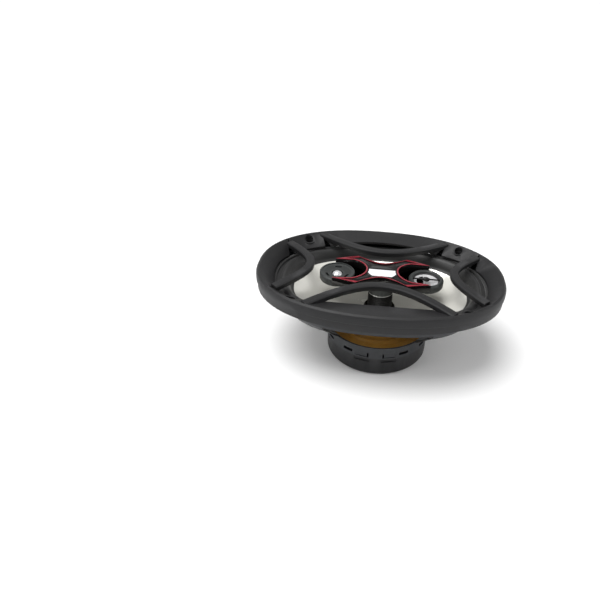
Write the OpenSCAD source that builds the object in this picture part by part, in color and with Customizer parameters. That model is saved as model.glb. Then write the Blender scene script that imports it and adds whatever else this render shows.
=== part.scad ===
// Oval coaxial car speaker, three-way, lying on its magnet with the front face up.
// X is the long axis, Y the short axis, +Z the way it plays.
// The origin is the centre of the screw pattern, on the face that seats on the panel.

/* [Front bezel] */
// Length of the oval rim
rim_length = 240; // [232:1:248]
// Width of the oval rim
rim_width = 165; // [160:1:170]
// Height of the rim above the seating face
rim_height = 17; // [16:0.5:19]
// Width of the flat-topped ribs
rib_width = 8.2; // [7:0.1:9]
// Height of the ribs
rib_depth = 5.5; // [4:0.5:6]

/* [Mounting] */
// Distance between screw holes along the long axis
hole_spacing_x = 158; // [156:1:160]
// Distance between screw holes along the short axis
hole_spacing_y = 113; // [111:1:114]
// Diameter of the screw holes
hole_d = 4.8; // [4.2:0.1:5.2]
// Diameter of the recess for the screw head
head_d = 8.4; // [7.6:0.1:9]

/* [Basket and motor] */
// Radius of the round cup at the bottom of the basket
cup_r = 52; // [51:0.5:53]
// Thickness of the basket steel
steel = 1.2; // [1:0.1:1.4]
// Diameter of the ferrite ring
ferrite_d = 94; // [90:1:94]
// Thickness of the top plate
top_plate_h = 5; // [4:0.5:5]
// Radius of the pole
pole_r = 14.8; // [14.4:0.1:14.8]

/* [Cone] */
// Length of the cone at its edge
cone_length = 174; // [170:1:175]
// Width of the cone at its edge
cone_width = 111; // [108:1:112]
// Inner radius of the voice coil former
former_r = 15.25; // [15.2:0.05:15.3]

/* [Bridge] */
// Distance of each pod from the centre
pod_x = 43.3; // [42:0.1:44]
// Radius of each pod
pod_r = 17; // [16.5:0.1:17.2]
// Height of the pod faces above the seating face
pod_top = 10.5; // [10:0.5:11]

/* [Hidden] */
SEGMENTS = 72;
$fn = 96;
rim_a = rim_length / 2;
rim_b = rim_width / 2;
rim_power = 2.25;
wall = 2.6;
skirt_inset = 1.2;
lip_inset = 16.5;
lip_side_inset = 23;
lip_z_end = 8;
lip_z_side = 14.3;
corner_drop = 4;
root_z = rim_height - 0.7;
bowl_power = 2.5;
bowl_a = 95;
bowl_b = 63;
bowl_edge_z = -18;
floor_z = -52.5;
ledge_z = -41.5;
ledge_r = 44.2;
cup_top_z = -40.5;
plate_z = floor_z - top_plate_h;
ferrite_z = -68;
yoke_z = -72.2;
yoke_r = 42;
boot_top_z = plate_z + 4.7;
bottom_z = -73.5;
boot_r = 50.5;
cone_a = cone_length / 2;
cone_b = cone_width / 2;
cone_edge_z = -5;
neck_z = -27;
cone_skin = 0.8;
former_skin = 0.2;
neck_r = former_r + former_skin;
winding_r = 16.1;
surround_lip_z = steel + 0.7;
lip_edge = 15.3;
post_r = 9;
head_z = -7.6;
pod_h = 9.5;
arm_z = pod_top - pod_h - 2.3;
sleeve_r = 12.2;
apex_x = 69.5;
apex_y = 32;
arc_rise = 3.2;
loop_y = 42.5;
loop_r = 28;
loop_rise = 2.4;
cover_dome_r = 900;
cover_top = 15.6;
cover_skirt_z = 6.5;
trim_w = 1.5;
board_y = cup_r + 2.5;
blade_t = 0.8;
rivet_z = -46;

// Points of rounded ovals: |x/a|^p + |y/b|^p = 1, moved in along the outline's normal

function signed_power(v, e) = sign(v) * pow(abs(v), e);

function oval_point(a, b, p, t) = [a * signed_power(cos(t), 2 / p), b * signed_power(sin(t), 2 / p)];

function oval_normal(a, b, p, q) = let (
    g = [signed_power(q.x / a, p - 1) / a, signed_power(q.y / b, p - 1) / b]) g / norm(g);

function oval_ring(a, b, p, inset, z_end, z_side) = [for (i = [0 : SEGMENTS - 1])
    let (t = 360 * (i + 0.5) / SEGMENTS,
        q = oval_point(a, b, p, t),
        r = q - inset * oval_normal(a, b, p, q))
    [r.x, r.y, z_end + (z_side - z_end) * pow(sin(t), 2)]];

function rim_ring(inset, z) = oval_ring(rim_a, rim_b, rim_power, inset, z, z);

// The lip of the rim's sloping face: deeper at the ends and corners, wider and higher at the sides
function lip_ring(step, drop) = [for (i = [0 : SEGMENTS - 1])
    let (t = 360 * (i + 0.5) / SEGMENTS,
        side = pow(sin(t), 2),
        wide = min(1, max(0, (side - 0.45) / 0.4)),
        q = oval_point(rim_a, rim_b, rim_power, t),
        inset = lip_inset + (lip_side_inset - lip_inset) * wide + step,
        r = q - inset * oval_normal(rim_a, rim_b, rim_power, q))
    [r.x, r.y, lip_z_end + (lip_z_side - lip_z_end) * side - corner_drop * pow(sin(2 * t), 2) - drop]];

// Top inner edge of the rim, slightly lower at the corners
function shoulder_ring(inset, z) = [for (q = rim_ring(inset, z))
    let (u = 4 * q.x * q.x * q.y * q.y / pow(rim_a * rim_b, 2))
    [q.x, q.y, z - 1.6 * min(1, u)]];

function flat_oval(a, b, p, z) = oval_ring(a, b, p, 0, z, z);

// Twice the area that a closed band's section encloses, positive when it runs anticlockwise
function section_turn(rings) = let (
    q = [for (ring = rings) [norm([ring[0].x, ring[0].y]), ring[0].z]],
    m = len(q))
    [for (j = [0 : m - 1]) cross(q[j], q[(j + 1) % m])] * [for (j = [1 : m]) 1];

// A closed band of rings, joined in order and back to the first
module band(rings) {
    n = len(rings[0]);
    m = len(rings);
    inward = section_turn(rings) > 0;
    polyhedron(
        points = [for (ring = rings) for (q = ring) q],
        faces = [for (j = [0 : m - 1]) for (i = [0 : n - 1])
            let (k = inward ? (j + 1) % m : j, h = inward ? j : (j + 1) % m, l = (i + 1) % n)
            for (f = [[h * n + i, k * n + l, h * n + l], [h * n + i, k * n + i, k * n + l]]) f]);
}

// A bar along a path, with a section of [sideways, upward] points
module bar(path, section) {
    n = len(section);
    m = len(path);
    rings = [for (i = [0 : m - 1])
        let (d = path[min(i + 1, m - 1)] - path[max(i - 1, 0)],
            s = [d.y, -d.x, 0] / norm([d.x, d.y]))
        for (q = section) path[i] + q[0] * s + [0, 0, q[1]]];
    polyhedron(
        points = rings,
        faces = concat(
            [[for (i = [0 : n - 1]) i]],
            [for (j = [0 : m - 2]) for (i = [0 : n - 1])
                let (l = (i + 1) % n)
                for (f = [[j * n + l, j * n + i, (j + 1) * n + i],
                    [j * n + l, (j + 1) * n + i, (j + 1) * n + l]]) f],
            [[for (i = [n - 1 : -1 : 0]) (m - 1) * n + i]]));
}

// A round wire along a path that doesn't run straight up
module wire(path, r) {
    bar(path, [for (i = [7 : -1 : 0]) r * [cos(45 * i + 22.5), sin(45 * i + 22.5)]]);
}

module both_ends() {
    children();
    mirror([1, 0, 0]) children();
}

module both_sides() {
    children();
    mirror([0, 1, 0]) children();
}

module at_screws() {
    for (x = [-1, 1]) for (y = [-1, 1])
        translate([x * hole_spacing_x / 2, y * hole_spacing_y / 2, 0]) children();
}

// Front bezel: rim with a skirt, four grille ribs and four screw bosses

function end_loop_path() = [for (y = [-loop_y : loop_y / 10 : loop_y + 0.1])
    [apex_x + sqrt(pow(loop_r, 2) + pow(1.12 * y, 2)) - loop_r, y,
        root_z - 0.6 + loop_rise * (1 - pow(y / loop_y, 2))]];

function side_arc_path() = [for (x = [66 : -6 : -66.1])
    [x, apex_y + sqrt(pow(64.6, 2) + pow(1.14 * x, 2)) - 64.6, root_z + arc_rise * (1 - pow(x / 66, 2))]];

rib_section = [
    [-rib_width / 2, -1], [-rib_width / 2 + 0.9, 0], [rib_width / 2 - 0.9, 0],
    [rib_width / 2, -1], [rib_width / 2 - 0.6, -rib_depth], [-rib_width / 2 + 0.6, -rib_depth]];

module rim_shell() {
    band([
        rim_ring(skirt_inset, 0),
        rim_ring(skirt_inset, 7.2),
        rim_ring(0, 8.2),
        rim_ring(0, rim_height - 3.8),
        rim_ring(1, rim_height - 1.4),
        rim_ring(3, rim_height - 0.2),
        shoulder_ring(4.6, rim_height - 0.2),
        lip_ring(-0.6, 0),
        lip_ring(0, 0.7),
        lip_ring(-0.2, wall),
        rim_ring(6, rim_height - 4.6),
        rim_ring(3.8, rim_height - 5.4),
        rim_ring(3.8, 0)]);
}

// Wedge-shaped gap beside a rib's root
module root_gap(points) {
    translate([0, 0, 1]) linear_extrude(rim_height + 2) polygon(points);
}

module front_bezel() {
    color([0.16, 0.16, 0.165]) difference() {
        union() {
            difference() {
                rim_shell();
                both_ends() both_sides() {
                    root_gap([[67, 67.6], [52, 49.2], [59.5, 46]]);
                    root_gap([[100.2, 47.6], [84, 28], [95, 29]]);
                }
            }
            both_ends() bar(end_loop_path(), rib_section);
            both_sides() bar(side_arc_path(), rib_section);
            at_screws() translate([0, 0, steel]) cylinder(r = head_d / 2 + 1.8, h = 9.8, $fn = 32);
        }
        at_screws() {
            translate([0, 0, -1]) cylinder(d = hole_d, h = 20);
            translate([0, 0, 6]) cylinder(d = head_d, h = 20);
        }
    }
}

// Basket: stamped flange and bowl, four struts, and a round cup for the motor

module window_prism(bottom_w, top_w, bottom_z, top_z) {
    rotate([90, 0, 0]) linear_extrude(240, center = true)
        polygon([
            [-bottom_w / 2, bottom_z], [bottom_w / 2, bottom_z],
            [top_w / 2, top_z], [-top_w / 2, top_z]]);
}

module basket_shell() {
    band([
        rim_ring(4.2, 0),
        flat_oval(bowl_a, bowl_b, bowl_power, 0),
        flat_oval(bowl_a - 3.5, bowl_b - 1.6, bowl_power, bowl_edge_z),
        flat_oval(bowl_a - 6, bowl_b - 4, bowl_power, bowl_edge_z - 5),
        flat_oval(bowl_a - 11, bowl_b - 8, bowl_power, bowl_edge_z - 8),
        flat_oval(cup_r + 3, cup_r + 1, 2.1, cup_top_z + 2.6),
        flat_oval(cup_r, cup_r, 2, cup_top_z),
        flat_oval(cup_r, cup_r, 2, floor_z),
        flat_oval(20, 20, 2, floor_z),
        flat_oval(20, 20, 2, floor_z + steel),
        flat_oval(cup_r - steel, cup_r - steel, 2, floor_z + steel),
        flat_oval(cup_r - steel, cup_r - steel, 2, cup_top_z + 0.5),
        flat_oval(cup_r + 2, cup_r, 2.1, cup_top_z + 2.6 + steel),
        flat_oval(bowl_a - 12, bowl_b - 9, bowl_power, bowl_edge_z - 8 + steel),
        flat_oval(bowl_a - 7.3, bowl_b - 5.3, bowl_power, bowl_edge_z - 4.6),
        flat_oval(bowl_a - 4.8, bowl_b - 2.9, bowl_power, bowl_edge_z + 0.3),
        flat_oval(bowl_a - 1.3, bowl_b - 1.3, bowl_power, steel),
        rim_ring(4.2, steel)]);
}

module basket() {
    color([0.17, 0.18, 0.2]) difference() {
        union() {
            basket_shell();
            translate([0, 0, ledge_z - steel]) difference() {
                cylinder(r = cup_r - 0.6, h = steel);
                translate([0, 0, -1]) cylinder(r = ledge_r, h = steel + 2);
            }
        }
        window_prism(72, 104, cup_top_z + 1, bowl_edge_z);
        rotate([0, 0, 90]) window_prism(34, 52, cup_top_z + 1, bowl_edge_z - 7.5);
        translate([0, 0, floor_z - 1]) cylinder(r = 21, h = 5);
        for (q = [0, 90, 180, 270]) rotate([0, 0, q]) for (s = [-31, 31]) rotate([0, 0, s])
            translate([-cup_r - 2, -5, -49.5]) cube([6, 10, 3]);
        for (q = [0, 90, 180, 270]) rotate([0, 0, q]) both_ends() rotate([0, 0, 15]) {
            translate([-7, -cup_r - 2, floor_z + steel]) cube([13, 2.7, 5]);
            translate([-7, -cup_r - 2, floor_z + steel]) cube([1.8, 4, 5]);
        }
        both_ends() both_sides() for (q = [[51, 69, -16], [91, 48.8, -43]])
            translate([q[0], q[1], 0]) rotate([0, 0, q[2]]) cube([8, 4, 4], center = true);
        at_screws() translate([0, 0, -1]) cylinder(d = hole_d, h = 4);
    }
}

module gasket_ring() {
    color([0.1, 0.1, 0.1]) band([
        rim_ring(lip_edge, surround_lip_z),
        rim_ring(lip_edge, surround_lip_z + 2.4),
        rim_ring(lip_edge + 2.8, surround_lip_z + 2.4),
        rim_ring(lip_edge + 2.8, surround_lip_z)]);
}

// Half-roll surround, from its lip on the flange to the cone's edge
module surround() {
    roll_steps = 5;
    roll_height = 5.4;
    glue = 0.05;
    rubber = surround_lip_z - steel;
    out_a = 97.8;
    out_b = 64.2;
    in_a = cone_a + 0.8;
    in_b = cone_b + 0.4;
    function roll_ring(k, lift, base) = let (u = (1 - cos(k)) / 2)
        flat_oval(out_a + (in_a - out_a) * u, out_b + (in_b - out_b) * u, 2.4,
            base + surround_lip_z + (cone_edge_z + rubber - surround_lip_z) * u + lift * sin(k));
    function glued_ring(lift) = 0.75 * cone_ring(1, 0, lift) + 0.25 * cone_ring(0.8, 0, lift);
    color([0.07, 0.07, 0.07]) band(concat(
        [rim_ring(lip_edge, steel), rim_ring(lip_edge, surround_lip_z)],
        [for (i = [0 : roll_steps]) roll_ring(180 * i / roll_steps, roll_height, 0)],
        [glued_ring(rubber), glued_ring(glue), cone_ring(1, 0, glue)],
        [for (i = [roll_steps : -1 : 0]) roll_ring(180 * i / roll_steps, roll_height - 0.7, -rubber)]));
}

// Cone: oval at its edge, round at its neck
function cone_ring(u, grow, dz) = flat_oval(
    neck_r + 0.2 + grow + (cone_a - neck_r) * (1 - pow(1 - u, 1.25)),
    neck_r + 0.2 + grow + (cone_b - neck_r) * (1 - pow(1 - u, 1.1)),
    2 + 0.4 * u, neck_z + dz + (cone_edge_z - neck_z) * pow(u, 1.15));

module cone() {
    steps = 5;
    collar_h = 4;
    color([0.72, 0.71, 0.67]) difference() {
        band(concat(
            [for (i = [0 : steps]) cone_ring(i / steps, 0, 0)],
            [flat_oval(cone_a + 0.2, cone_b + 0.2, 2.4, cone_edge_z - cone_skin + 0.2)],
            [for (i = [steps : -1 : 0]) cone_ring(i / steps, cone_skin, -cone_skin)],
            [flat_oval(neck_r + 0.9, neck_r + 0.9, 2, neck_z - collar_h)],
            [flat_oval(neck_r - 0.4, neck_r - 0.4, 2, neck_z - collar_h)],
            [flat_oval(neck_r - 0.4, neck_r - 0.4, 2, neck_z + 0.4)]));
        translate([0, 0, neck_z - 6]) cylinder(r = neck_r, h = 10);
    }
}

module tube(r_in, r_out, z_low, z_high) {
    translate([0, 0, z_low]) difference() {
        cylinder(r = r_out, h = z_high - z_low);
        translate([0, 0, -1]) cylinder(r = r_in, h = z_high - z_low + 2);
    }
}

module former() {
    color([0.75, 0.6, 0.35]) tube(former_r, former_r + former_skin, -62, neck_z + 0.8);
}

module winding() {
    color([0.7, 0.38, 0.2]) tube(former_r + former_skin, winding_r, -61, -49);
}

// Corrugated spider, glued to the ledge and to the former
module spider() {
    waves = 5;
    inner = neck_r;
    flat_r = ledge_r - 0.4;
    steps = waves * 8;
    mid = [for (i = [0 : steps]) let (u = i / steps)
        [inner + 2 + (flat_r - inner - 2) * u, ledge_z + 1.2 - 0.9 * u + 1.3 * sin(360 * waves * u)]];
    color([0.78, 0.52, 0.1]) rotate_extrude() polygon(concat(
        [[inner, ledge_z + 1.5]],
        [for (q = mid) q + [0, 0.3]],
        [[cup_r - steel - 0.8, ledge_z + 0.6], [cup_r - steel - 0.8, ledge_z]],
        [for (i = [steps : -1 : 0]) mid[i] - [0, 0.3]],
        [[inner, ledge_z + 0.9]]));
}

// Motor

module top_plate() {
    color([0.55, 0.56, 0.58]) tube(winding_r + 0.8, 41, plate_z, floor_z);
}

module ferrite_ring() {
    color([0.2, 0.2, 0.21]) tube(22, ferrite_d / 2, ferrite_z, plate_z);
}

module yoke() {
    color([0.5, 0.51, 0.53]) difference() {
        union() {
            translate([0, 0, yoke_z]) cylinder(r = yoke_r, h = ferrite_z - yoke_z);
            translate([0, 0, ferrite_z]) cylinder(r = pole_r, h = floor_z - ferrite_z);
        }
        translate([0, 0, yoke_z - 1]) cylinder(r = 3.2, h = 30);
        translate([0, 0, yoke_z - 1]) cylinder(r = 6, h = 3.4);
    }
}

// Moulded cover over the magnet, open under the back plate
module magnet_boot() {
    color([0.13, 0.13, 0.14]) difference() {
        rotate_extrude() polygon(concat(
            [[yoke_r - 2, bottom_z]],
            [for (t = [0 : 15 : 90]) [boot_r - 4 + 4 * sin(t), bottom_z + 4 - 4 * cos(t)]],
            [[boot_r, boot_top_z], [ferrite_d / 2, boot_top_z]],
            [[ferrite_d / 2, yoke_z], [yoke_r - 2, yoke_z]]));
        for (q = [0, 90, 180, 270]) rotate([0, 0, q]) for (s = [-1, 1]) rotate([0, 0, 15 * s])
            translate([-7.5, -boot_r - 1, plate_z]) cube([15, 1.9, 8]);
        translate([-12, -boot_r - 1, bottom_z - 1]) cube([15, 5, 2.8]);
    }
}

// Post and bridge

module centre_post() {
    color([0.1, 0.1, 0.1]) difference() {
        translate([0, 0, floor_z]) cylinder(r = post_r, h = 3 - floor_z);
        translate([0, 0, floor_z - 1]) cylinder(r = 2.6, h = 22);
    }
}

module post_sleeve() {
    ribs = 9;
    low = neck_z + 2.5;
    high = head_z - 0.8;
    pitch = (high - low) / ribs;
    groove_r = sleeve_r - 0.7;
    color([0.06, 0.06, 0.06]) rotate_extrude() polygon(concat(
        [[post_r, high], [post_r, low]],
        [for (i = [0 : ribs - 1])
            let (z = low + pitch * i)
            for (q = [[groove_r, z], [sleeve_r, z + 0.3 * pitch], [sleeve_r, z + 0.7 * pitch],
                [groove_r, z + pitch - 0.05]]) q]));
}

module post_ring() {
    color([0.6, 0.6, 0.6]) tube(post_r, sleeve_r + 0.2, head_z - 0.8, head_z);
}

module post_bolt() {
    color([0.7, 0.7, 0.72]) {
        translate([0, 0, yoke_z + 0.4]) cylinder(r = 4.6, h = 2, $fn = 6);
        translate([0, 0, yoke_z + 2.4]) cylinder(r = 2.6, h = 30);
    }
}

module bridge_carrier() {
    color([0.1, 0.1, 0.1]) difference() {
        union() {
            translate([0, 0, head_z]) cylinder(r = 12.4, h = cover_skirt_z - head_z);
            translate([-pod_x, -8, arm_z]) cube([2 * pod_x, 16, 2.3]);
            translate([-pod_x + pod_r + 0.3, -8, arm_z]) cube([2 * (pod_x - pod_r - 0.3), 16, 5]);
            for (s = [-1, 1]) translate([s * pod_x, 0, arm_z]) cylinder(r = 9, h = 2.3);
        }
        translate([0, 0, head_z - 1]) cylinder(r = post_r, h = 4 - head_z);
    }
}

// Plan of the X-shaped cover, moved in by e from its edge
function arm_side(e) = [for (t = [-66 : 12 : 66.1]) [37.6 - (22.2 + e) * cos(t), (18.7 + e) * sin(t)]];

function waist_side(e) = [for (u = [-1 : 0.125 : 1.01])
    [-(24.5 - 1.6 * e) * u, 13.4 - e + (11.8 - 0.5 * e) * pow(abs(u), 1.6)]];

function cover_tip(e) = [47 - 5.6 * e, 17.9 + e];

// The same points on the other side of the centre
function turned(points) = [for (q = points) -q];

function cover_plan(e) = concat(
    [cover_tip(e)], waist_side(e), turned([[cover_tip(e).x, -cover_tip(e).y]]),
    turned(arm_side(e)), turned([cover_tip(e)]), turned(waist_side(e)),
    [[cover_tip(e).x, -cover_tip(e).y]], arm_side(e));

module dome_prism(e, top, z_low) {
    intersection() {
        translate([0, 0, z_low]) linear_extrude(20) polygon(cover_plan(e));
        translate([0, 0, top - cover_dome_r]) sphere(r = cover_dome_r);
    }
}

// Outline of the bright inlay in one half of the cover's waist
module inlay(gap) {
    intersection() {
        circle(r = 14.6 - gap);
        translate([-16, -11.2 + gap]) square([32, 12.4 - 2 * gap]);
        polygon(cover_plan(2.6 + gap));
    }
}

module bridge_cover() {
    color([0.04, 0.04, 0.045]) difference() {
        dome_prism(0, cover_top - 0.5, cover_skirt_z);
        dome_prism(1.5, cover_top - 2.4, cover_skirt_z - 1);
        translate([0, 0, cover_skirt_z]) linear_extrude(14) inlay(0);
    }
}

module red_trim() {
    color([0.7, 0.1, 0.16]) difference() {
        dome_prism(0, cover_top, cover_top - 8);
        dome_prism(trim_w, cover_top + 1, cover_top - 9);
        translate([0, 0, cover_top - 0.5 - cover_dome_r]) sphere(r = cover_dome_r);
    }
}

module chrome_trim() {
    plate_low = cover_top - 2.2;
    color([0.85, 0.85, 0.87]) {
        translate([0, 0, plate_low]) linear_extrude(cover_top - 0.6 - plate_low) inlay(0.15);
        translate([0, -4.5, cover_skirt_z]) cylinder(r = 5, h = plate_low - cover_skirt_z);
    }
}

// Tweeter pod, at the -X end

module at_tweeter() {
    translate([-pod_x, 0, pod_top]) children();
}

module tweeter_housing() {
    color([0.09, 0.09, 0.09]) at_tweeter() rotate_extrude() polygon([
        [0, -pod_h], [13, -pod_h], [pod_r - 0.6, -7.8], [pod_r, -6.6], [pod_r, -0.8],
        [pod_r - 0.8, 0], [pod_r - 2, 0], [pod_r - 2, -2.8], [13.4, -2.8], [13.4, -8.3], [0, -8.3]]);
}

module tweeter_faceplate() {
    color([0.11, 0.11, 0.11]) at_tweeter() difference() {
        rotate_extrude() polygon([
            [5.6, -2.2], [pod_r - 2, -0.8], [pod_r - 2, -2.8], [13.3, -2.8], [13.3, -3.2], [7.5, -3.6],
            [5.6, -3.4]]);
        for (t = [90, 210, 330]) rotate([0, 0, t]) translate([10.4, 0, -8])
            linear_extrude(10) square([2.4, 6.4], center = true);
    }
}

module tweeter_dome() {
    color([0.85, 0.85, 0.87]) at_tweeter() translate([0, 0, -3]) difference() {
        intersection() {
            translate([0, 0, -3.2]) sphere(r = 5.8);
            cylinder(r = 5, h = 4);
        }
        translate([0, 0, -3.2]) sphere(r = 5.5);
    }
}

module tweeter_coil() {
    color([0.7, 0.38, 0.2]) at_tweeter() tube(4.3, 4.75, -6.9, -3);
}

module tweeter_magnet() {
    color([0.4, 0.4, 0.42]) at_tweeter() difference() {
        translate([0, 0, -8.3]) cylinder(r = 12, h = 2.4);
        translate([0, 0, -7.5]) tube_cut(3.9, 5.15, 4);
    }
}

module tube_cut(r_in, r_out, h) {
    difference() {
        cylinder(r = r_out, h = h);
        translate([0, 0, -1]) cylinder(r = r_in, h = h + 2);
    }
}

// Midrange pod, at the +X end

module at_mid() {
    translate([pod_x, 0, pod_top]) children();
}

module mid_housing() {
    color([0.09, 0.09, 0.09]) at_mid() rotate_extrude() polygon([
        [0, -pod_h], [13, -pod_h], [pod_r - 0.6, -7.8], [pod_r, -6.6], [pod_r, -1.6],
        [pod_r - 1.6, 0], [14.2, 0], [13.2, -1], [13.2, -2.2], [15.2, -2.2], [15.2, -7],
        [13, -8.3], [0, -8.3]]);
}

module mid_surround() {
    color([0.1, 0.1, 0.1]) at_mid() rotate_extrude() polygon(concat(
        [[15.2, -2.9]],
        [for (t = [0 : 20 : 180]) [13.4 + 1.1 * cos(t), -2.9 + 0.6 * sin(t)]], [[11.8, -2.9], [11.8, -3.2]],
        [for (t = [180 : -20 : 0]) [13.4 + 0.9 * cos(t), -3.2 + 0.6 * sin(t)]], [[15.2, -3.2]]));
}

module mid_cone() {
    color([0.8, 0.8, 0.8]) at_mid() rotate_extrude() polygon([
        [12, -3.2], [3.6, -5.6], [0, -5.2], [0, -5.6], [3.9, -6], [12.4, -3.5], [12.4, -3.2]]);
}

module mid_coil() {
    color([0.7, 0.38, 0.2]) at_mid() tube(3.6, 3.9, -7.3, -6.02);
}

module mid_grille() {
    color([0.75, 0.75, 0.76]) at_mid() translate([0, 0, -1.9]) {
        for (t = [0, 180]) rotate([0, 0, t]) translate([0, -0.9, 0]) cube([13.2, 1.8, 1]);
        cylinder(r = 3.6, h = 1);
    }
}

module mid_magnet() {
    color([0.4, 0.4, 0.42]) at_mid() difference() {
        translate([0, 0, -8.3]) cylinder(r = 11, h = 1.4);
        translate([0, 0, -7.9]) tube_cut(3.1, 4.4, 4);
    }
}

// Terminals, at the +Y side

module terminal_board() {
    board_z = -51;
    board_h = cup_top_z - 0.1 - board_z;
    color([0.08, 0.08, 0.08]) difference() {
        translate([-19, cup_r - 6, board_z]) cube([38, board_y - cup_r + 6, board_h]);
        translate([0, 0, board_z - 1]) cylinder(r = cup_r, h = 20);
        for (x = [-12, 12]) translate([x, cup_r - 6, rivet_z]) rotate([-90, 0, 0]) cylinder(r = 1.5, h = 12);
        capacitor_can();
    }
}

module terminal_rivets() {
    shank = board_y + blade_t - cup_r;
    color([0.75, 0.75, 0.76]) for (x = [-12, 12]) translate([x, cup_r, rivet_z]) rotate([-90, 0, 0]) {
        cylinder(r = 1.5, h = shank);
        translate([0, 0, shank]) cylinder(r = 2.1, h = 0.8);
    }
}

module blade(x, width) {
    translate([x - width / 2, board_y, -49]) difference() {
        union() {
            cube([width, blade_t, 14]);
            cube([width, 9.5, blade_t]);
        }
        translate([width / 2, 5.8, -1]) cylinder(r = 0.9, h = 3);
        translate([width / 2, -1, 3]) rotate([-90, 0, 0]) cylinder(r = 1.5, h = 4);
    }
}

module blade_positive() {
    color([0.8, 0.8, 0.8]) blade(12, 6.3);
}

module blade_negative() {
    color([0.8, 0.8, 0.8]) blade(-12, 4.8);
}

module capacitor_can() {
    translate([-6.5, board_y + 3.7, -45.5]) rotate([0, 90, 0]) cylinder(r = 4.1, h = 13);
}

module capacitor() {
    color([0.1, 0.1, 0.12]) capacitor_can();
}

lead_path = [
    [12, 55.8, -34.4], [13, 53, -33], [14, 47, -30], [13.5, 41, -27], [12, 35, -24.5], [11, 30, -22.6]];

module tinsel_lead_left() {
    color([0.75, 0.75, 0.75]) mirror([1, 0, 0]) wire(lead_path, 0.8);
}

module tinsel_lead_right() {
    color([0.75, 0.75, 0.75]) wire(lead_path, 0.8);
}

front_bezel();
basket();
gasket_ring();
surround();
cone();
former();
winding();
spider();
top_plate();
ferrite_ring();
yoke();
magnet_boot();
centre_post();
post_sleeve();
post_ring();
post_bolt();
bridge_carrier();
bridge_cover();
red_trim();
chrome_trim();
tweeter_housing();
tweeter_faceplate();
tweeter_dome();
tweeter_coil();
tweeter_magnet();
mid_housing();
mid_surround();
mid_cone();
mid_coil();
mid_grille();
mid_magnet();
terminal_board();
terminal_rivets();
blade_positive();
blade_negative();
capacitor();
tinsel_lead_left();
tinsel_lead_right();
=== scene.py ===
import bpy
import math
from mathutils import Matrix, Vector
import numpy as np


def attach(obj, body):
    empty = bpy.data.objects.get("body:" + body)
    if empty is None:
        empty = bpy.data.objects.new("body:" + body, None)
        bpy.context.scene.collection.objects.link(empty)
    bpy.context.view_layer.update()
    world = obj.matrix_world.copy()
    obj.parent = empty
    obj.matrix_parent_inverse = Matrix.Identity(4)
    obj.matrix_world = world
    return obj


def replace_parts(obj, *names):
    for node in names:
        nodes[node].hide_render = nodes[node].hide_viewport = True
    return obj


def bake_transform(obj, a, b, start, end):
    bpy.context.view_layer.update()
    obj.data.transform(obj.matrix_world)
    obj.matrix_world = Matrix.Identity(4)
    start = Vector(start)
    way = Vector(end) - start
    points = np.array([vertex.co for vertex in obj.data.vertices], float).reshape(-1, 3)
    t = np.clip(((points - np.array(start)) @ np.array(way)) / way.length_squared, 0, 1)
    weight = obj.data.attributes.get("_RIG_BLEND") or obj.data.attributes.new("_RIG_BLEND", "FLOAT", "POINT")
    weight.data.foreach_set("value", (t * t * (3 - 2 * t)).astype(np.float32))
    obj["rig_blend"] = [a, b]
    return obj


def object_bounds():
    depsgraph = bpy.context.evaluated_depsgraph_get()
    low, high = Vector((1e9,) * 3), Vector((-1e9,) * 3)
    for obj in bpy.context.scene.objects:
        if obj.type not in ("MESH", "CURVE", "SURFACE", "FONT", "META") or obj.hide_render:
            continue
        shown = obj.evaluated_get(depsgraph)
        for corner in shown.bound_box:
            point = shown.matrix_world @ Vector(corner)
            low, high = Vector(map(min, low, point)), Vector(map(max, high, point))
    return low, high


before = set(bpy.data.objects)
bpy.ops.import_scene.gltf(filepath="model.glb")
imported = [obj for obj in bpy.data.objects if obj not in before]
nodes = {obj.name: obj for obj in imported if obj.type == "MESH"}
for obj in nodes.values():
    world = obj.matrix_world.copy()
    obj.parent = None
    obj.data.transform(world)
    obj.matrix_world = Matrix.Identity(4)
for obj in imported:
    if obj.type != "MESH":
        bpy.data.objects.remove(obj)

cadBox = [list(corner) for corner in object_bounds()]
print("frame loaded")


# small helpers

def deselectAll():
    if bpy.context.object and bpy.context.object.mode != "OBJECT":
        bpy.ops.object.mode_set(mode="OBJECT")
    bpy.ops.object.select_all(action="DESELECT")


def pick(piece):
    deselectAll()
    piece.select_set(True)
    bpy.context.view_layer.objects.active = piece


def applyAll(piece):
    pick(piece)
    for modifier in list(piece.modifiers):
        bpy.ops.object.modifier_apply(modifier=modifier.name)


def mergedCopy(node, name, flatAngle=0.6):
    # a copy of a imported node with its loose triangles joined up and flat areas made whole
    piece = bpy.data.objects.new(name, nodes[node].data.copy())
    bpy.context.scene.collection.objects.link(piece)
    piece.data.materials.clear()
    pick(piece)
    bpy.ops.mesh.customdata_custom_splitnormals_clear()
    bpy.ops.object.mode_set(mode="EDIT")
    bpy.ops.mesh.select_all(action="SELECT")
    bpy.ops.mesh.remove_doubles(threshold=0.00002)
    if flatAngle:
        bpy.ops.mesh.dissolve_limited(angle_limit=math.radians(flatAngle))
    bpy.ops.object.mode_set(mode="OBJECT")
    return piece


def softEdges(piece, width, angle, segments=2, smoothAngle=38):
    bevel = piece.modifiers.new("edges", "BEVEL")
    bevel.width = width
    bevel.segments = segments
    bevel.limit_method = "ANGLE"
    bevel.angle_limit = math.radians(angle)
    bevel.use_clamp_overlap = True
    applyAll(piece)
    bpy.ops.object.shade_smooth_by_angle(angle=math.radians(smoothAngle))


def subdivide(piece, levels):
    surface = piece.modifiers.new("surface", "SUBSURF")
    surface.levels = levels
    surface.render_levels = levels
    applyAll(piece)


def finishPiece(piece, material, body, *replaced):
    piece.data.materials.clear()
    piece.data.materials.append(material)
    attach(piece, body)
    if replaced:
        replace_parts(piece, *replaced)


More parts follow.
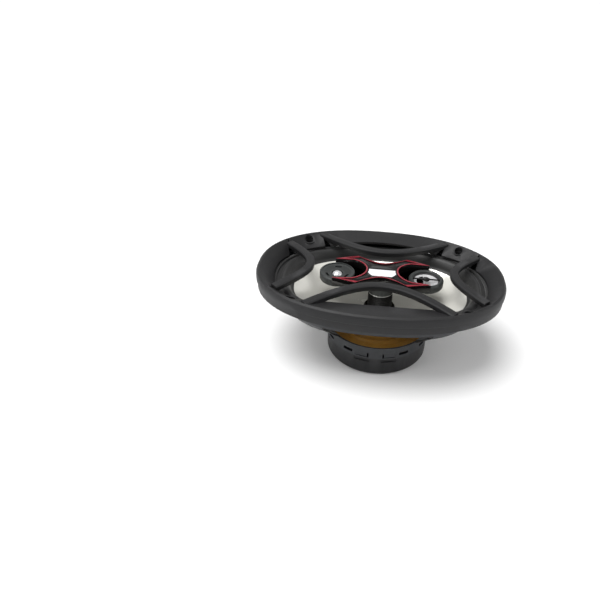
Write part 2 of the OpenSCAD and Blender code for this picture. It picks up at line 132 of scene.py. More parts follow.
def ovalPoint(a, b, power, turn):
    c, s = math.cos(turn), math.sin(turn)
    x = a * math.copysign(abs(c) ** (2 / power), c)
    y = b * math.copysign(abs(s) ** (2 / power), s)
    return x, y


def ovalReach(x, y, a, b, power):
    # 1 on the oval, less inside it and more outside
    return (abs(x / a) ** power + abs(y / b) ** power) ** (1 / power)


# camera

cameraView = {
    "aim": (0, 0, 0.017),
    "azimuth": -0.575,
    "elevation": 30.45,
    "roll": 4.95,
    "distance": 0.5404,
    "lens": 33.6,
    "shift": (-0.1374, -0.0523),
    "sensor": 36,
    "nearest": 0.01,
}


def addCamera(view):
    bpy.ops.object.camera_add()
    camera = bpy.context.object
    az, el, roll = (math.radians(view[key]) for key in ("azimuth", "elevation", "roll"))
    back = Vector((math.sin(az) * math.cos(el), -math.cos(az) * math.cos(el), math.sin(el)))
    side = Vector((0, 0, 1)).cross(back).normalized()
    above = back.cross(side)
    right = side * math.cos(roll) + above * math.sin(roll)
    up = above * math.cos(roll) - side * math.sin(roll)
    turn = Matrix((right, up, back)).transposed().to_4x4()
    camera.matrix_world = Matrix.Translation(Vector(view["aim"]) + back * view["distance"]) @ turn
    camera.data.lens = view["lens"]
    camera.data.sensor_width = view["sensor"]
    camera.data.shift_x, camera.data.shift_y = view["shift"]
    camera.data.clip_start = view["nearest"]
    bpy.context.scene.camera = camera


addCamera(cameraView)
print("camera placed")


# shader node groups that several finishes share

def newGroup(name, inputs, outputs):
    group = bpy.data.node_groups.new(name, "ShaderNodeTree")
    for label, kind, value in inputs:
        socket = group.interface.new_socket(label, in_out="INPUT", socket_type=kind)
        if value is not None:
            socket.default_value = value
    for label, kind in outputs:
        group.interface.new_socket(label, in_out="OUTPUT", socket_type=kind)
    return group, group.nodes.new("NodeGroupInput"), group.nodes.new("NodeGroupOutput")


def mathNode(tree, operation, first, second=None, clamp=False):
    node = tree.nodes.new("ShaderNodeMath")
    node.operation = operation
    node.use_clamp = clamp
    for socket, value in zip(node.inputs, (first, second)):
        if value is None:
            continue
        if hasattr(value, "links"):
            tree.links.new(value, socket)
        else:
            socket.default_value = value
    return node.outputs[0]


def noiseNode(tree, vector, scale, detail=3, roughness=0.55):
    node = tree.nodes.new("ShaderNodeTexNoise")
    node.inputs["Detail"].default_value = detail
    node.inputs["Roughness"].default_value = roughness
    tree.links.new(vector, node.inputs["Vector"])
    if hasattr(scale, "links"):
        tree.links.new(scale, node.inputs["Scale"])
    else:
        node.inputs["Scale"].default_value = scale
    return node.outputs["Fac"]


def buildMouldGrain():
    # fine pebbled skin of moulded plastic, with slow cloudiness for its sheen
    group, given, out = newGroup(
        "mouldGrain",
        [("Vector", "NodeSocketVector", None), ("Grain Size", "NodeSocketFloat", 1800.0),
         ("Cloud Size", "NodeSocketFloat", 40.0)],
        [("Height", "NodeSocketFloat"), ("Cloud", "NodeSocketFloat")])
    cells = group.nodes.new("ShaderNodeTexVoronoi")
    cells.feature = "SMOOTH_F1"
    group.links.new(given.outputs["Vector"], cells.inputs["Vector"])
    group.links.new(given.outputs["Grain Size"], cells.inputs["Scale"])
    fine = noiseNode(group, given.outputs["Vector"], given.outputs["Grain Size"], 4)
    height = mathNode(group, "ADD", cells.outputs["Distance"], mathNode(group, "MULTIPLY", fine, 0.6))
    cloud = noiseNode(group, given.outputs["Vector"], given.outputs["Cloud Size"], 4)
    group.links.new(height, out.inputs["Height"])
    group.links.new(cloud, out.inputs["Cloud"])
    return group


def buildEdgeHighlight():
    # painted highlight: a paler line along sharp edges
    group, given, out = newGroup(
        "edgeHighlight",
        [("Vector", "NodeSocketVector", None), ("Pointiness", "NodeSocketFloat", 0.5),
         ("Start", "NodeSocketFloat", 0.53), ("End", "NodeSocketFloat", 0.62)],
        [("Mask", "NodeSocketFloat")])
    ramp = group.nodes.new("ShaderNodeMapRange")
    group.links.new(given.outputs["Pointiness"], ramp.inputs["Value"])
    group.links.new(given.outputs["Start"], ramp.inputs["From Min"])
    group.links.new(given.outputs["End"], ramp.inputs["From Max"])
    broken = noiseNode(group, given.outputs["Vector"], 160, 4)
    strength = mathNode(group, "ADD", broken, 0.35)
    mask = mathNode(group, "MULTIPLY", ramp.outputs["Result"], strength, clamp=True)
    group.links.new(mask, out.inputs["Mask"])
    return group


def buildTopLight():
    # painted light: faint pale specks on faces that look up, so tops read lighter than sides
    group, given, out = newGroup(
        "topLightSpecks",
        [("Vector", "NodeSocketVector", None), ("Normal", "NodeSocketVector", None),
         ("Amount", "NodeSocketFloat", 0.1)],
        [("Mask", "NodeSocketFloat")])
    parts = group.nodes.new("ShaderNodeSeparateXYZ")
    group.links.new(given.outputs["Normal"], parts.inputs[0])
    upward = mathNode(group, "MULTIPLY", parts.outputs["Z"], 1.0, clamp=True)
    specks = noiseNode(group, given.outputs["Vector"], 420, 5, 0.7)
    lightOnTop = mathNode(group, "MULTIPLY", upward, specks)
    mask = mathNode(group, "MULTIPLY", lightOnTop, given.outputs["Amount"], clamp=True)
    group.links.new(mask, out.inputs["Mask"])
    return group


def buildWeave():
    # over-and-under threads in the plane of the oval
    group, given, out = newGroup(
        "clothWeave",
        [("Vector", "NodeSocketVector", None), ("Threads", "NodeSocketFloat", 900.0)],
        [("Height", "NodeSocketFloat"), ("Shade", "NodeSocketFloat")])
    parts = group.nodes.new("ShaderNodeSeparateXYZ")
    group.links.new(given.outputs["Vector"], parts.inputs[0])
    waves = []
    for axis in ("X", "Y"):
        along = mathNode(group, "MULTIPLY", parts.outputs[axis], given.outputs["Threads"])
        waves.append(mathNode(group, "SINE", mathNode(group, "MULTIPLY", along, 2 * math.pi)))
    height = mathNode(group, "MULTIPLY", waves[0], waves[1])
    uneven = noiseNode(group, given.outputs["Vector"], 90, 4)
    group.links.new(height, out.inputs["Height"])
    group.links.new(uneven, out.inputs["Shade"])
    return group


mouldGrain = buildMouldGrain()
edgeHighlight = buildEdgeHighlight()
topLightSpecks = buildTopLight()
clothWeave = buildWeave()


def newMaterial(name, color, roughness, metallic=0.0, coat=0.0, coatRoughness=0.05, specular=0.5):
    material = bpy.data.materials.new(name)
    material.use_nodes = True
    tree = material.node_tree
    shader = tree.nodes["Principled BSDF"]
    shader.inputs["Base Color"].default_value = (*color, 1)
    shader.inputs["Roughness"].default_value = roughness
    shader.inputs["Metallic"].default_value = metallic
    shader.inputs["Coat Weight"].default_value = coat
    shader.inputs["Coat Roughness"].default_value = coatRoughness
    shader.inputs["Specular IOR Level"].default_value = specular
    shader.inputs["IOR"].default_value = 1.5
    place = tree.nodes.new("ShaderNodeTexCoord").outputs["Object"]
    return material, tree, shader, place


def useGroup(tree, group, **values):
    node = tree.nodes.new("ShaderNodeGroup")
    node.node_tree = group
    for label, value in values.items():
        socket = node.inputs[label.replace("_", " ")]
        if hasattr(value, "links"):
            tree.links.new(value, socket)
        else:
            socket.default_value = value
    return node.outputs


def mixColor(tree, mask, first, second):
    node = tree.nodes.new("ShaderNodeMix")
    node.data_type = "RGBA"
    tree.links.new(mask, node.inputs["Factor"])
    for socket, value in ((node.inputs["A"], first), (node.inputs["B"], second)):
        if hasattr(value, "links"):
            tree.links.new(value, socket)
        else:
            socket.default_value = (*value, 1)
    return node.outputs["Result"]


def between(tree, value, low, high):
    node = tree.nodes.new("ShaderNodeMapRange")
    node.inputs["From Min"].default_value = 0.3
    node.inputs["From Max"].default_value = 0.7
    node.inputs["To Min"].default_value = low
    node.inputs["To Max"].default_value = high
    tree.links.new(value, node.inputs["Value"])
    return node.outputs["Result"]


def bumpFrom(tree, shader, height, strength, distance):
    bump = tree.nodes.new("ShaderNodeBump")
    bump.inputs["Strength"].default_value = strength
    bump.inputs["Distance"].default_value = distance
    tree.links.new(height, bump.inputs["Height"])
    tree.links.new(bump.outputs["Normal"], shader.inputs["Normal"])


def tinted(color, factor, lift=0.0):
    return tuple(factor * c + lift for c in color)


def setLook(tree, shader, color, sheen, low, high):
    # colour over the surface, and roughness that wanders between low and high with the sheen value
    tree.links.new(color, shader.inputs["Base Color"])
    tree.links.new(between(tree, sheen, low, high), shader.inputs["Roughness"])


# finishes

edgeHighlightRange = {"start": 0.52, "end": 0.6}  # how sharp an edge is before its painted highlight starts, and where the highlight is strongest
# pale grey of the painted light on upward faces
topLightColor = (0.35, 0.34, 0.33)


def mouldedPlastic(name, look):
    # satin moulded plastic with grain, a painted highlight along sharp edges and painted light in faint specks on
    # upward faces
    color, rough = look["color"], look["roughness"]
    material, tree, shader, place = newMaterial(name, color, rough, specular=look["specular"])
    grain = useGroup(tree, mouldGrain, Vector=place, Grain_Size=look["grain"], Cloud_Size=35.0)
    shape = tree.nodes.new("ShaderNodeNewGeometry")
    edgeLight = useGroup(tree, edgeHighlight, Vector=place, Pointiness=shape.outputs["Pointiness"],
                   Start=edgeHighlightRange["start"], End=edgeHighlightRange["end"])
    topLight = useGroup(tree, topLightSpecks, Vector=place, Normal=shape.outputs["Normal"], Amount=look["topLight"])
    body = mixColor(tree, grain["Cloud"], tinted(color, 0.86), color)
    # painted highlight: sharp edges mixed towards a paler colour
    edgeLit = mixColor(tree, edgeLight["Mask"], body, tinted(color, 1.6, 0.01))
    # painted light: upward faces mixed in specks towards a pale grey
    topLit = mixColor(tree, topLight["Mask"], edgeLit, topLightColor)
    setLook(tree, shader, topLit, grain["Cloud"], rough - 0.05, rough + 0.06)
    bumpFrom(tree, shader, grain["Height"], look["bump"], look.get("depth", 0.00012))
    return material


def paintedSteel(name, look):
    # thin paint with a little orange peel, and a painted highlight along its edges
    color, rough = look["color"], look["roughness"]
    material, tree, shader, place = newMaterial(
        name, color, rough, coat=look.get("coat", 0.05), coatRoughness=0.2, specular=0.3)
    peel = noiseNode(tree, place, look["peel"], 3)
    cloud = noiseNode(tree, place, 30, 4)
    shape = tree.nodes.new("ShaderNodeNewGeometry")
    edgeLight = useGroup(tree, edgeHighlight, Vector=place, Pointiness=shape.outputs["Pointiness"],
                   Start=edgeHighlightRange["start"], End=edgeHighlightRange["end"])
    body = mixColor(tree, cloud, tinted(color, 0.85), color)
    # painted highlight: sharp edges mixed towards a paler colour
    edgeLit = mixColor(tree, edgeLight["Mask"], body, tinted(color, 1.9, 0.01))
    setLook(tree, shader, edgeLit, cloud, rough - 0.04, rough + 0.08)
    bumpFrom(tree, shader, peel, 0.22, 0.00015)
    return material


def softRubber(name, look):
    # porous rubber or foam with a soft sheen
    color, rough = look["color"], look["roughness"]
    material, tree, shader, place = newMaterial(name, color, rough, specular=0.4)
    shader.inputs["Sheen Weight"].default_value = look.get("sheen", 0.15)
    shader.inputs["Sheen Roughness"].default_value = 0.5
    pores = noiseNode(tree, place, look["pores"], 5, 0.7)
    bloom = noiseNode(tree, place, 45, 4)
    bloomed = mixColor(tree, bloom, color, tinted(color, 1.7, 0.004))
    setLook(tree, shader, bloomed, bloom, rough - 0.06, rough + 0.08)
    bumpFrom(tree, shader, pores, 0.3, 0.0001)
    return material


def brightMetal(name, look):
    # plated or brushed metal: fine streaks, drawn out along one direction, with faint handling marks
    color, rough = look["color"], look["roughness"]
    material, tree, shader, place = newMaterial(name, color, rough, metallic=look.get("metallic", 1.0))
    mapping = tree.nodes.new("ShaderNodeMapping")
    mapping.inputs["Scale"].default_value = look.get("stretch", (1, 1, 1))
    tree.links.new(place, mapping.inputs["Vector"])
    streaks = noiseNode(tree, mapping.outputs["Vector"], look["streaks"], 4, 0.6)
    marks = noiseNode(tree, place, 70, 5, 0.65)
    marked = mixColor(tree, marks, tinted(color, 0.88), color)
    setLook(tree, shader, marked, marks, rough * 0.75, rough * 1.35)
    bumpFrom(tree, shader, streaks, look.get("bump", 0.06), 0.00006)
    return material


def glossPlastic(name, look):
    # lacquered plastic with a fine fleck and a slight haze
    color, rough = look["color"], look["roughness"]
    material, tree, shader, place = newMaterial(
        name, color, rough, coat=look.get("coat", 0.35), coatRoughness=look.get("coatRoughness", 0.04),
        specular=look.get("specular", 0.35))
    ripple = noiseNode(tree, place, 120, 2)
    haze = noiseNode(tree, place, 60, 5, 0.65)
    flakes = noiseNode(tree, place, 2600, 2)
    mixed = mixColor(tree, haze, color, look.get("highlight", tinted(color, 1.25, 0.002)))
    fleck = mathNode(tree, "GREATER_THAN", flakes, 0.68)
    flecked = mixColor(tree, fleck, mixed, look.get("flakeColor", tinted(color, 1.5, 0.004)))
    setLook(tree, shader, flecked, haze, rough * 0.8, rough * 1.5)
    bumpFrom(tree, shader, ripple, 0.05, 0.0001)
    return material


def coneFilm(name, look):
    # metallised film over pulp: cloudy sheen, faint fibres, and painted shade that makes it darker and slightly
    # warmer towards the neck
    rough = look["roughness"]
    material, tree, shader, place = newMaterial(
        name, look["color"], rough, metallic=look["metallic"], coat=look["coat"], coatRoughness=0.12)
    fibres = noiseNode(tree, place, look["fibres"], 6, 0.7)
    cloud = noiseNode(tree, place, 22, 3)
    parts = tree.nodes.new("ShaderNodeSeparateXYZ")
    tree.links.new(place, parts.inputs[0])
    # painted shade: the colour darkens from the edge down to the neck, deep inside the cone
    depth = tree.nodes.new("ShaderNodeMapRange")
    depth.inputs["From Min"].default_value = look["neckZ"]
    depth.inputs["From Max"].default_value = look["edgeZ"]
    tree.links.new(parts.outputs["Z"], depth.inputs["Value"])
    shade = mixColor(tree, depth.outputs["Result"], look["neckShadeColor"], look["color"])
    clouded = mixColor(tree, cloud, shade, look["cloudColor"])
    setLook(tree, shader, clouded, cloud, rough - 0.05, rough + 0.08)
    bumpFrom(tree, shader, fibres, 0.05, 0.00003)
    return material


def wovenCloth(name, look):
    # cloth stiffened with resin
    color, rough = look["color"], look["roughness"]
    material, tree, shader, place = newMaterial(name, color, rough, specular=0.35)
    weave = useGroup(tree, clothWeave, Vector=place, Threads=look["threads"])
    resin = noiseNode(tree, place, 55, 4)
    thread = between(tree, weave["Height"], 0.0, 1.0)
    body = mixColor(tree, thread, tinted(color, 0.62), color)
    soaked = mixColor(tree, mathNode(tree, "MULTIPLY", resin, 0.5), body, look["resin"])
    setLook(tree, shader, soaked, resin, rough - 0.12, rough + 0.1)
    bumpFrom(tree, shader, weave["Height"], 0.35, 0.00012)
    return material


def woundWire(name, look):
    # enamelled turns: narrow bands one above another
    color, rough = look["color"], look["roughness"]
    material, tree, shader, place = newMaterial(name, color, rough, metallic=0.9, coat=0.5)
    turns = tree.nodes.new("ShaderNodeTexWave")
    turns.wave_type = "BANDS"
    turns.bands_direction = "Z"
    turns.inputs["Scale"].default_value = look["turns"]
    tree.links.new(place, turns.inputs["Vector"])
    tint = noiseNode(tree, place, 200, 3)
    banded = mixColor(tree, turns.outputs["Fac"], tinted(color, 0.5), color)
    setLook(tree, shader, banded, tint, rough - 0.05, rough + 0.1)
    bumpFrom(tree, shader, turns.outputs["Fac"], 0.6, 0.0001)
    return material


def braidedWire(name, look):
    # tinned strands laid round the lead both ways
    color, rough = look["color"], look["roughness"]
    material, tree, shader, place = newMaterial(name, color, rough, metallic=1.0)
    heights = []
    for slant in (0.6, -0.6):
        mapping = tree.nodes.new("ShaderNodeMapping")
        mapping.inputs["Rotation"].default_value = (slant, slant, 0)
        tree.links.new(place, mapping.inputs["Vector"])
        strands = tree.nodes.new("ShaderNodeTexWave")
        strands.inputs["Scale"].default_value = look["strands"]
        tree.links.new(mapping.outputs["Vector"], strands.inputs["Vector"])
        heights.append(strands.outputs["Fac"])
    crossing = mathNode(tree, "MAXIMUM", heights[0], heights[1])
    laid = mixColor(tree, crossing, tinted(color, 0.35), color)
    setLook(tree, shader, laid, noiseNode(tree, place, 300, 3), rough - 0.06, rough + 0.1)
    bumpFrom(tree, shader, crossing, 0.8, 0.0002)
    return material


bezelPlastic = mouldedPlastic("bezelPlastic", {
    "color": (0.0145, 0.0145, 0.0155), "roughness": 0.48, "specular": 0.25, "grain": 1500.0, "bump": 0.3,
    "depth": 0.00013, "topLight": 0.03})
podPlastic = mouldedPlastic("podPlastic", {
    "color": (0.026, 0.029, 0.0285), "roughness": 0.42, "specular": 0.3, "grain": 2200.0, "bump": 0.16, "topLight": 0.03})
bootPlastic = mouldedPlastic("bootPlastic", {
    "color": (0.009, 0.009, 0.0098), "roughness": 0.42, "specular": 0.25, "grain": 1900.0, "bump": 0.2, "topLight": 0.02})
postPlastic = mouldedPlastic("postPlastic", {
    "color": (0.005, 0.005, 0.005), "roughness": 0.4, "specular": 0.25, "grain": 2200.0, "bump": 0.14, "topLight": 0.02})
boardPlastic = mouldedPlastic("boardPlastic", {
    "color": (0.012, 0.0115, 0.011), "roughness": 0.6, "specular": 0.3, "grain": 900.0, "bump": 0.3, "topLight": 0.12})
basketPaint = paintedSteel("basketPaint", {"color": (0.0085, 0.0094, 0.0108), "roughness": 0.36, "peel": 900.0})
ferriteBlack = paintedSteel("ferriteBlack", {
    "color": (0.03, 0.03, 0.032), "roughness": 0.55, "peel": 1600.0, "coat": 0.0})
gasketFoam = softRubber("gasketFoam", {
    "color": (0.014, 0.014, 0.014), "roughness": 0.8, "pores": 1400.0, "sheen": 0.3})
surroundRubber = softRubber("surroundRubber", {"color": (0.011, 0.011, 0.011), "roughness": 0.48, "pores": 2600.0})
coneFinish = coneFilm("coneFinish", {
    "color": (0.93, 0.92, 0.87), "neckShadeColor": (0.62, 0.6, 0.52), "cloudColor": (0.84, 0.83, 0.76), "roughness": 0.2,
    "metallic": 0.22, "coat": 0.35, "fibres": 500.0, "neckZ": -0.027, "edgeZ": -0.005})
formerFilm = glossPlastic("formerFilm", {"color": (0.03, 0.022, 0.014), "roughness": 0.3, "coatRoughness": 0.15})
copperWire = woundWire("copperWire", {"color": (0.72, 0.34, 0.18), "roughness": 0.3, "turns": 900.0})
spiderCloth = wovenCloth("spiderCloth", {
    "color": (0.4, 0.2, 0.02), "resin": (0.26, 0.11, 0.008), "roughness": 0.55, "threads": 900.0})
platedSteel = brightMetal("platedSteel", {
    "color": (0.5, 0.51, 0.52), "roughness": 0.32, "streaks": 260.0, "stretch": (1, 12, 1)})
silverMetal = brightMetal("silverMetal", {
    "color": (0.86, 0.86, 0.87), "roughness": 0.26, "metallic": 0.6, "streaks": 500.0, "bump": 0.03})
chromeFinish = brightMetal("chromeFinish", {
    "color": (0.86, 0.86, 0.88), "roughness": 0.07, "streaks": 120.0, "bump": 0.02})
tinnedBrass = brightMetal("tinnedBrass", {
    "color": (0.7, 0.69, 0.65), "roughness": 0.26, "streaks": 420.0, "stretch": (6, 1, 1)})
glossBlack = glossPlastic("glossBlack", {
    "color": (0.0035, 0.003, 0.003), "roughness": 0.12, "coat": 0.15, "specular": 0.2})
redGloss = glossPlastic("redGloss", {
    "color": (0.2, 0.008, 0.02), "highlight": (0.27, 0.02, 0.034), "roughness": 0.2,
    "flakeColor": (0.42, 0.06, 0.07)})
capacitorSleeve = glossPlastic("capacitorSleeve", {
    "color": (0.014, 0.014, 0.02), "roughness": 0.25, "coatRoughness": 0.1})
leadBraid = braidedWire("leadBraid", {"color": (0.66, 0.66, 0.65), "roughness": 0.34, "strands": 1300.0})
print("finishes made")


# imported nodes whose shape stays, with their finish

finishOf = {
    "former": formerFilm, "winding": copperWire, "top_plate": platedSteel, "ferrite_ring": ferriteBlack,
    "yoke": platedSteel, "magnet_boot": bootPlastic, "centre_post": postPlastic, "post_sleeve": postPlastic,
    "post_ring": platedSteel, "post_bolt": platedSteel, "bridge_carrier": podPlastic, "chrome_trim": chromeFinish,
    "tweeter_housing": podPlastic, "tweeter_faceplate": podPlastic, "tweeter_dome": silverMetal,
    "tweeter_coil": copperWire, "tweeter_magnet": platedSteel, "mid_housing": podPlastic, "mid_cone": silverMetal,
    "mid_coil": copperWire, "mid_magnet": platedSteel, "terminal_board": boardPlastic, "terminal_rivets": tinnedBrass,
    "blade_positive": tinnedBrass, "blade_negative": tinnedBrass, "capacitor": capacitorSleeve,
}
for node, finish in finishOf.items():
    for slot in nodes[node].material_slots:
        slot.material = finish
print("packed nodes finished")


# bezel, basket and gasket

bezelDetail = {"edge": 0.00045, "edgeAngle": 30}
bezelShell = mergedCopy("front_bezel", "bezelShell")
softEdges(bezelShell, bezelDetail["edge"], bezelDetail["edgeAngle"])
finishPiece(bezelShell, bezelPlastic, "frame", "front_bezel")

basketDetail = {"edge": 0.0003, "edgeAngle": 35}
basketFrame = mergedCopy("basket", "basketFrame")
softEdges(basketFrame, basketDetail["edge"], basketDetail["edgeAngle"])
finishPiece(basketFrame, basketPaint, "frame", "basket")

gasketDetail = {"edge": 0.0006, "edgeAngle": 35, "segments": 3}
gasketFoamRing = mergedCopy("gasket_ring", "gasketFoamRing")
softEdges(gasketFoamRing, gasketDetail["edge"], gasketDetail["edgeAngle"], gasketDetail["segments"])
finishPiece(gasketFoamRing, gasketFoam, "frame", "gasket_ring")
print("bezel, basket and gasket made")


# cone, surround and spider

def ovalSheet(name, levels, sides):
    # a ring drawn out level by level, each level an oval of its own size, squareness and height
    deselectAll()
    a, b, power, z = levels[0]
    bpy.ops.mesh.primitive_circle_add(vertices=sides, radius=a, location=(0, 0, 0))
    piece = bpy.context.object
    piece.name = name
    mesh = piece.data
    for index in range(sides):
        x, y = ovalPoint(a, b, power, 2 * math.pi * (index + 0.5) / sides)
        mesh.vertices[index].co = (x, y, z)
    for a, b, power, z in levels[1:]:
        bpy.ops.object.mode_set(mode="EDIT")
        bpy.ops.mesh.extrude_edges_move()
        bpy.ops.object.mode_set(mode="OBJECT")
        for step, vertex in enumerate(list(mesh.vertices)[-sides:]):
            x, y = ovalPoint(a, b, power, 2 * math.pi * (step + 0.5) / sides)
            vertex.co = (x, y, z)
    bpy.ops.object.mode_set(mode="EDIT")
    bpy.ops.mesh.select_all(action="SELECT")
    bpy.ops.mesh.normals_make_consistent(inside=False)
    bpy.ops.object.mode_set(mode="OBJECT")
    return piece


def thicken(piece, thickness):
    wall = piece.modifiers.new("wall", "SOLIDIFY")
    wall.thickness = thickness
    wall.offset = 0
    wall.use_even_offset = True
    applyAll(piece)
    bpy.ops.object.shade_smooth_by_angle(angle=math.radians(40))


coneShape = {
    "neck": 0.01565, "a": 0.087, "b": 0.0555, "neckZ": -0.027, "edgeZ": -0.005,
    "slack": 0.0002,  # the edge ends this far outside a and b
    "flareA": 1.25, "flareB": 1.1, "squareness": 0.4, "rise": 1.15, "collar": 0.0038,
    "skin": 0.0008, "steps": 28, "sides": 144,
}


def coneLevel(u, shape):
    # u runs from 0 at the neck to 1 at the edge
    start = shape["neck"] - shape["slack"]
    a = shape["neck"] + (shape["a"] - start) * (1 - (1 - u) ** shape["flareA"])
    b = shape["neck"] + (shape["b"] - start) * (1 - (1 - u) ** shape["flareB"])
    z = shape["neckZ"] + (shape["edgeZ"] - shape["neckZ"]) * u ** shape["rise"]
    return a, b, 2 + shape["squareness"] * u, z


def buildCone(shape):
    collar = [(shape["neck"], shape["neck"], 2, shape["neckZ"] - shape["collar"])]
    levels = collar + [coneLevel(step / shape["steps"], shape) for step in range(shape["steps"] + 1)]
    piece = ovalSheet("conePaper", levels, shape["sides"])
    thicken(piece, shape["skin"])
    return piece


conePaper = buildCone(coneShape)
finishPiece(conePaper, coneFinish, "woofer", "cone")
print("cone made")


def spreadByDistance(piece, share):
    # how far each point follows the moving side: share gives 0 at the fixed edge and 1 at the moving one
    weights = piece.data.attributes["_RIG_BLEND"]
    for index, vertex in enumerate(piece.data.vertices):
        t = min(1.0, max(0.0, share(vertex.co.x, vertex.co.y)))
        weights.data[index].value = t * t * (3 - 2 * t)


surroundShape = {
    "outer": (0.0978, 0.0642), "inner": (0.0878, 0.0559), "power": 2.4, "smoothing": 2, "quadAngle": 60}


def surroundShare(x, y):
    outside = 1 - ovalReach(x, y, *surroundShape["outer"], surroundShape["power"])
    inside = ovalReach(x, y, *surroundShape["inner"], surroundShape["power"]) - 1
    if outside <= 0:
        return 0.0
    if inside <= 0:
        return 1.0
    return outside / (outside + inside)


surroundRoll = mergedCopy("surround", "surroundRoll", 0)
bpy.ops.object.mode_set(mode="EDIT")
bpy.ops.mesh.select_all(action="SELECT")
quadAngle = math.radians(surroundShape["quadAngle"])
bpy.ops.mesh.tris_convert_to_quads(face_threshold=quadAngle, shape_threshold=quadAngle)
bpy.ops.object.mode_set(mode="OBJECT")
subdivide(surroundRoll, surroundShape["smoothing"])
bpy.ops.object.shade_smooth_by_angle(angle=math.radians(50))
surroundRoll.data.materials.clear()
surroundRoll.data.materials.append(surroundRubber)
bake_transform(surroundRoll, "frame", "woofer", start=(0, 0, 0.0019), end=(0, 0, -0.005))
spreadByDistance(surroundRoll, surroundShare)
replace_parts(surroundRoll, "surround")
print("surround made")


spiderShape = {
    "inner": 0.01545, "outer": 0.0438, "foot": 0.0499, "z": -0.0415, "waves": 5, "height": 0.0013,
    "flat": 0.001, "footLift": 0.0003, "neckLift": 0.0012, "slope": 0.0009,
    "stillFrom": 0.0436, "followOver": 0.0256,  # held outside this radius, and gives way over this width
    "cloth": 0.0006, "steps": 70, "sides": 120,
}


def buildSpider(shape):
    levels = [(shape["foot"], shape["foot"], 2, shape["z"] + shape["footLift"])]
    for step in range(shape["steps"], -1, -1):
        u = step / shape["steps"]
        radius = shape["inner"] + shape["flat"] + (shape["outer"] - shape["inner"] - shape["flat"]) * u
        wave = shape["height"] * math.sin(2 * math.pi * shape["waves"] * u)
        z = shape["z"] + shape["neckLift"] - shape["slope"] * u + wave
        levels.append((radius, radius, 2, z))
    levels.append((shape["inner"], shape["inner"], 2, shape["z"] + shape["neckLift"]))
    piece = ovalSheet("spiderCorrugated", levels, shape["sides"])
    thicken(piece, shape["cloth"])
    return piece


spiderCorrugated = buildSpider(spiderShape)
spiderCorrugated.data.materials.append(spiderCloth)
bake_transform(spiderCorrugated, "frame", "woofer", start=(spiderShape["outer"], 0, 0), end=(spiderShape["inner"], 0, 0))
spreadByDistance(
    spiderCorrugated, lambda x, y: (spiderShape["stillFrom"] - math.hypot(x, y)) / spiderShape["followOver"])
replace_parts(spiderCorrugated, "spider")
print("spider made")


# bridge cover with its red edge, and the midrange grille and surround

coverDetail = {"edge": 0.0003, "edgeAngle": 35}
coverShell = mergedCopy("bridge_cover", "coverShell")
softEdges(coverShell, coverDetail["edge"], coverDetail["edgeAngle"])
finishPiece(coverShell, glossBlack, "frame", "bridge_cover")

redEdgeDetail = {"edge": 0.00018, "edgeAngle": 30}
redEdge = mergedCopy("red_trim", "redEdge")
softEdges(redEdge, redEdgeDetail["edge"], redEdgeDetail["edgeAngle"])
finishPiece(redEdge, redGloss, "frame", "red_trim")

grilleDetail = {"edge": 0.00025, "edgeAngle": 35}
grilleSpokes = mergedCopy("mid_grille", "grilleSpokes")
softEdges(grilleSpokes, grilleDetail["edge"], grilleDetail["edgeAngle"])
finishPiece(grilleSpokes, glossBlack, "frame", "mid_grille")


podShape = {"x": 0.0433, "top": 0.0105}
midSurroundShape = {
    "outer": 0.0151, "rollOuter": 0.0144, "rollInner": 0.0124, "inner": 0.0119, "z": -0.00305,
    "lift": 0.0006, "rollWidth": 0.002, "steps": 10, "sides": 72, "rubber": 0.0003,
}


def buildMidSurround(shape):
    z = shape["z"]
    levels = [(shape["outer"], shape["outer"], 2, z)]
    middle = (shape["rollOuter"] + shape["rollInner"]) / 2
    half = (shape["rollOuter"] - shape["rollInner"]) / 2
    for step in range(shape["steps"] + 1):
        turn = math.pi * step / shape["steps"]
        radius = middle + half * math.cos(turn)
        levels.append((radius, radius, 2, z + shape["lift"] * math.sin(turn)))
    levels.append((shape["inner"], shape["inner"], 2, z))
    piece = ovalSheet("midRoll", levels, shape["sides"])
    thicken(piece, shape["rubber"])
    piece.data.transform(Matrix.Translation((podShape["x"], 0, podShape["top"])))
    return piece


midRoll = buildMidSurround(midSurroundShape)
midRoll.data.materials.append(surroundRubber)
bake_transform(midRoll, "frame", "mid_diaphragm", start=(podShape["x"] + 0.0144, 0, 0), end=(podShape["x"] + 0.0124, 0, 0))


def midShare(x, y):
    reach = math.hypot(x - podShape["x"], y)
    return (midSurroundShape["rollOuter"] - reach) / midSurroundShape["rollWidth"]


spreadByDistance(midRoll, midShare)
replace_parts(midRoll, "mid_surround")
print("bridge and pods made")


# tinsel leads, held at the blade and at the cone

leadRoute = {
    "points": [(0.012, 0.0558, -0.0344), (0.013, 0.053, -0.033), (0.014, 0.047, -0.030), (0.0135, 0.041, -0.027),
               (0.012, 0.035, -0.0245), (0.011, 0.030, -0.0226)],
    "radius": 0.0007, "resolution": 8, "bevelResolution": 3,
}


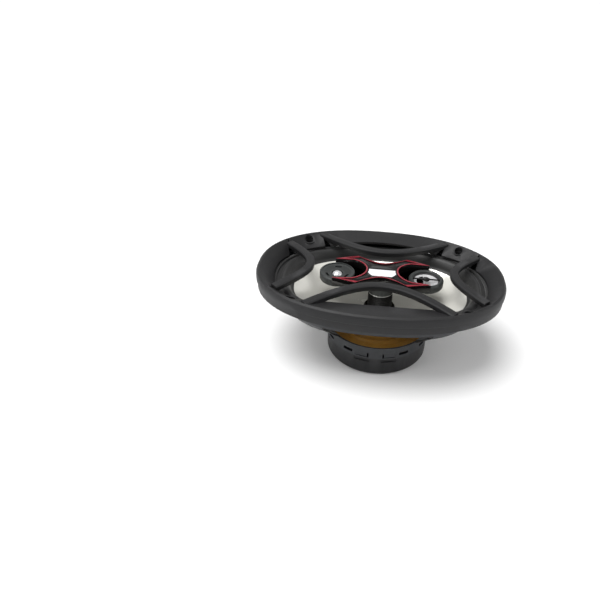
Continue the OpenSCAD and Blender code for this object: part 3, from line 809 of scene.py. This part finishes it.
def buildLead(name, side, route):
    deselectAll()
    bpy.ops.curve.primitive_nurbs_path_add()
    piece = bpy.context.object
    piece.name = name
    curve = piece.data
    curve.splines.clear()
    spline = curve.splines.new("BEZIER")
    spline.bezier_points.add(len(route["points"]) - 1)
    for point, (x, y, z) in zip(spline.bezier_points, route["points"]):
        point.co = (side * x, y, z)
        point.handle_left_type = point.handle_right_type = "AUTO"
    curve.dimensions = "3D"
    curve.resolution_u = route["resolution"]
    curve.bevel_depth = route["radius"]
    curve.bevel_resolution = route["bevelResolution"]
    curve.use_fill_caps = True
    pick(piece)
    bpy.ops.object.convert(target="MESH")
    bpy.ops.object.shade_smooth_by_angle(angle=math.radians(50))
    piece.data.materials.append(leadBraid)
    start, end = route["points"][1], route["points"][-1]
    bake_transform(piece, "frame", "woofer", start=(side * start[0], start[1], start[2]), end=(side * end[0], end[1], end[2]))
    return piece


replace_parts(buildLead("leadLeft", -1, leadRoute), "tinsel_lead_left")
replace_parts(buildLead("leadRight", 1, leadRoute), "tinsel_lead_right")
print("leads made")


# floor, sky and lights

studio = {
    "floorSize": 14.0,
    "floorColor": (0.9, 0.9, 0.9),
    "sky": {"horizon": 1.0, "overhead": 0.34, "horizonTop": 0.1, "fadeTop": 0.36},
    "sun": {"elevation": 72, "azimuth": 200, "strength": 2.75, "width": 40},
    "lamps": [
        {"name": "leftSoftbox", "at": (-1.0, -0.5, 0.6), "size": 0.6, "power": 4},
        {"name": "rightSoftbox", "at": (1.1, -0.2, 0.5), "size": 0.5, "power": 4},
        {"name": "backSoftbox", "at": (0.0, 1.1, 0.66), "size": 0.26, "power": 0.22},
    ],
}


def addFloor(size, color):
    deselectAll()
    bpy.ops.mesh.primitive_plane_add(size=size, location=(0, 0, cadBox[0][2]))
    floor = bpy.context.object
    floor.name = "floor"
    floor.data.transform(floor.matrix_world)
    floor.matrix_world = Matrix.Identity(4)
    material, tree, shader, place = newMaterial("floorCard", color, 0.85)
    tone = noiseNode(tree, place, 3, 3)
    tree.links.new(mixColor(tree, tone, tuple(0.99 * c for c in color), color), shader.inputs["Base Color"])
    floor.data.materials.append(material)


def addLamp(lamp):
    bpy.ops.object.light_add(type="AREA", location=lamp["at"])
    light = bpy.context.object
    light.name = lamp["name"]
    light.data.energy = lamp["power"]
    light.data.size = lamp["size"]
    towardsPart = -Vector(lamp["at"])
    light.rotation_euler = towardsPart.to_track_quat("-Z", "Y").to_euler()


def addSun(sun):
    # wide, high light, like a large overhead softbox; azimuth runs from +X towards +Y
    az, el = math.radians(sun["azimuth"]), math.radians(sun["elevation"])
    towards = Vector((math.cos(az) * math.cos(el), math.sin(az) * math.cos(el), math.sin(el)))
    bpy.ops.object.light_add(type="SUN", location=towards)
    light = bpy.context.object
    light.name = "overhead"
    light.data.energy = sun["strength"]
    light.data.angle = math.radians(sun["width"])
    light.rotation_euler = towards.to_track_quat("Z", "Y").to_euler()


def addSky(sky):
    # bright near the horizon, dimmer overhead
    world = bpy.data.worlds.new("studioSky")
    world.use_nodes = True
    tree = world.node_tree
    place = tree.nodes.new("ShaderNodeTexCoord").outputs["Generated"]
    parts = tree.nodes.new("ShaderNodeSeparateXYZ")
    tree.links.new(place, parts.inputs[0])
    fade = tree.nodes.new("ShaderNodeMapRange")
    fade.inputs["From Min"].default_value = sky["horizonTop"]
    fade.inputs["From Max"].default_value = sky["fadeTop"]
    fade.inputs["To Min"].default_value = sky["horizon"]
    fade.inputs["To Max"].default_value = sky["overhead"]
    tree.links.new(parts.outputs["Z"], fade.inputs["Value"])
    tree.links.new(fade.outputs["Result"], tree.nodes["Background"].inputs["Strength"])
    tree.nodes["Background"].inputs["Color"].default_value = (1, 1, 1, 1)
    bpy.context.scene.world = world
    bpy.context.scene.view_settings.view_transform = "Standard"


addFloor(studio["floorSize"], studio["floorColor"])
deselectAll()
for lamp in studio["lamps"]:
    addLamp(lamp)
addSun(studio["sun"])
addSky(studio["sky"])
print("floor and lights placed")
